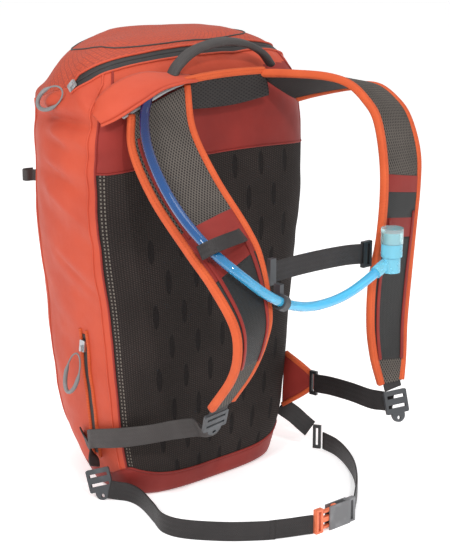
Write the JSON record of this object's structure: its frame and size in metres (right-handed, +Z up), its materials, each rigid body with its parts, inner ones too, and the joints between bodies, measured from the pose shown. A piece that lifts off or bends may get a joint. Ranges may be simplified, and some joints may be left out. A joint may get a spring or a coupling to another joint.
{
  "type": "daypack",
  "caption": "Small panel-top hydration daypack with hinged zip lid, padded shoulder harness, drinking hose with bite valve, sternum strap and buckled hip belt.",
  "frame": {"origin": "middle of the flat base, on the surface the bag stands on", "axes": "+Z up, the back panel and shoulder harness face -Y, +X to the right when looking along +Y"},
  "size_m": [0.2906, 0.3901, 0.4686],
  "materials": {
    "body_fabric": "plain woven rust-orange nylon, matt",
    "yoke_fabric": "plain woven brick-red nylon, matt",
    "lid_fabric": "ripstop heather nylon, matt",
    "back_mesh": "dark knitted spacer mesh",
    "zip_tape": "coated zip tape",
    "zip_metal": "bright zip slider",
    "pull_cord": "moulded tube over cord",
    "foam": "closed-cell foam",
    "frame_plastic": "HDPE sheet",
    "reservoir_film": "clear blue film",
    "reservoir_plastic": "moulded plastic",
    "strap_padding": "spacer mesh over foam with orange binding",
    "hose_tube": "clear blue flexible tube",
    "valve_plastic": "translucent blue moulding",
    "valve_clear": "clear cover",
    "valve_silicone": "soft silicone",
    "webbing": "woven webbing, matt",
    "hardware_grey": "moulded acetal, grey",
    "hardware_black": "moulded acetal, black",
    "hardware_orange": "moulded acetal, salmon orange"
  },
  "bodies": {
    "bag": {"base_panel": "yoke_fabric", "back_mesh_panel": "back_mesh", "yoke_panel": "yoke_fabric", "front_panel": "body_fabric", "left_side_panel": "body_fabric", "right_side_panel": "body_fabric", "top_zip_lower_tape": "zip_tape", "side_zip_tape": "zip_tape", "hose_port": "hardware_grey", "back_foam": "foam", "frame_sheet": "frame_plastic", "hydration_sleeve": "back_mesh", "reservoir": "reservoir_film", "reservoir_fill_cap": "reservoir_plastic", "reservoir_port": "reservoir_plastic", "reservoir_hanger_tab": "webbing", "reservoir_hanger_hook": "reservoir_plastic", "inner_hose": "hose_tube", "gear_loop": "webbing", "left_lower_webbing": "webbing", "right_wing": "yoke_fabric", "right_wing_glide": "hardware_black", "right_lower_webbing": "webbing", "hip_tab": "webbing", "hip_left_webbing": "webbing", "hip_right_webbing": "webbing", "hip_anchor_webbing": "webbing", "hip_right_glide": "hardware_black", "hip_buckle_socket": "hardware_grey"},
    "lid": {"lid_shell": "lid_fabric", "top_zip_upper_tape": "zip_tape"},
    "top_slider": {"top_zip_slider": "zip_metal"},
    "top_pull": {"top_zip_pull": "pull_cord"},
    "side_slider": {"side_zip_slider": "zip_metal"},
    "side_pull": {"side_zip_pull": "pull_cord"},
    "handle": {"haul_loop": "webbing"},
    "harness": {"left_shoulder_strap": "strap_padding", "right_shoulder_strap": "strap_padding", "shoulder_yoke": "strap_padding", "drinking_hose": "hose_tube", "hose_keeper": "webbing", "sternum_webbing": "webbing", "sternum_plate": "hardware_grey", "sternum_adjuster": "hardware_black", "hose_clip": "hardware_grey", "valve_elbow": "valve_plastic", "left_tip_webbing": "webbing", "right_tip_webbing": "webbing"},
    "valve": {"bite_valve": "valve_plastic", "valve_mouthpiece": "valve_silicone"},
    "cover": {"valve_cover": "valve_clear"},
    "left_lock": {"left_strap_lock": "hardware_grey"},
    "right_lock": {"right_strap_lock": "hardware_grey"},
    "belt_lock": {"hip_lock": "hardware_grey"},
    "plug": {"hip_buckle_plug": "hardware_orange", "hip_plug_tail": "webbing"},
    "prong_upper": {"plug_prong_upper": "hardware_orange"},
    "prong_lower": {"plug_prong_lower": "hardware_orange"}
  },
  "joints": [
    {"name": "lid_open", "type": "hinge", "parent": "bag", "child": "lid", "pos_m": [0, 0.126, 0.389], "axis": [-1, 0, 0], "range_deg": [0, 110]},
    {"name": "top_zip_slide", "type": "slide", "parent": "bag", "child": "top_slider", "axis": [0.1802, -0.771, 0.6108], "range_m": [0, 0.01]},
    {"name": "top_pull_swing", "type": "hinge", "parent": "top_slider", "child": "top_pull", "pos_m": [-0.1415, -0.008, 0.421], "axis": [0, 0.4711, 0.8821], "range_deg": [0, 80]},
    {"name": "side_zip_slide", "type": "slide", "parent": "bag", "child": "side_slider", "axis": [0.0926, -0.0299, -0.9953], "range_m": [0, 0.07]},
    {"name": "side_pull_swing", "type": "hinge", "parent": "side_slider", "child": "side_pull", "pos_m": [-0.1316, -0.009, 0.153], "axis": [0, 0.9536, 0.3011], "range_deg": [0, 80]},
    {"name": "handle_fold", "type": "hinge", "parent": "bag", "child": "handle", "pos_m": [0, -0.082, 0.434], "axis": [1, 0, 0], "range_deg": [0, 50]},
    {"name": "harness_swing", "type": "hinge", "parent": "bag", "child": "harness", "pos_m": [0, -0.074, 0.428], "axis": [-1, 0, 0], "range_deg": [0, 10]},
    {"name": "valve_twist", "type": "hinge", "parent": "harness", "child": "valve", "pos_m": [0.076, -0.2425, 0.269], "axis": [0, 0, 1], "range_deg": [0, 90]},
    {"name": "cover_pull", "type": "slide", "parent": "valve", "child": "cover", "axis": [0, 0, 1], "range_m": [0, 0.02]},
    {"name": "left_lock_tilt", "type": "hinge", "parent": "harness", "child": "left_lock", "pos_m": [-0.1055, -0.188, 0.1295], "axis": [-0.9584, 0.2018, -0.2018], "range_deg": [0, 25]},
    {"name": "right_lock_tilt", "type": "hinge", "parent": "harness", "child": "right_lock", "pos_m": [0.1065, -0.225, 0.11], "axis": [-0.9524, 0.3008, -0.0501], "range_deg": [0, 25]},
    {"name": "belt_lock_tilt", "type": "hinge", "parent": "bag", "child": "belt_lock", "pos_m": [-0.126, -0.028, 0.0285], "axis": [-0.5313, 0.792, -0.3008], "range_deg": [0, 25]},
    {"name": "buckle_release", "type": "slide", "parent": "bag", "child": "plug", "axis": [-0.9998, 0.02, 0], "range_m": [0, 0.03]},
    {"name": "prong_press_upper", "type": "slide", "parent": "plug", "child": "prong_upper", "axis": [0, 0, -1], "range_m": [0, 0.0015], "stiffness_N_per_m": 300},
    {"name": "prong_press_lower", "type": "slide", "parent": "plug", "child": "prong_lower", "axis": [0, 0, 1], "range_m": [0, 0.0015], "stiffness_N_per_m": 300}
  ],
  "couplings": [
    {"joint": "prong_press_lower", "follows": "prong_press_upper", "ratio": 1}
  ]
}
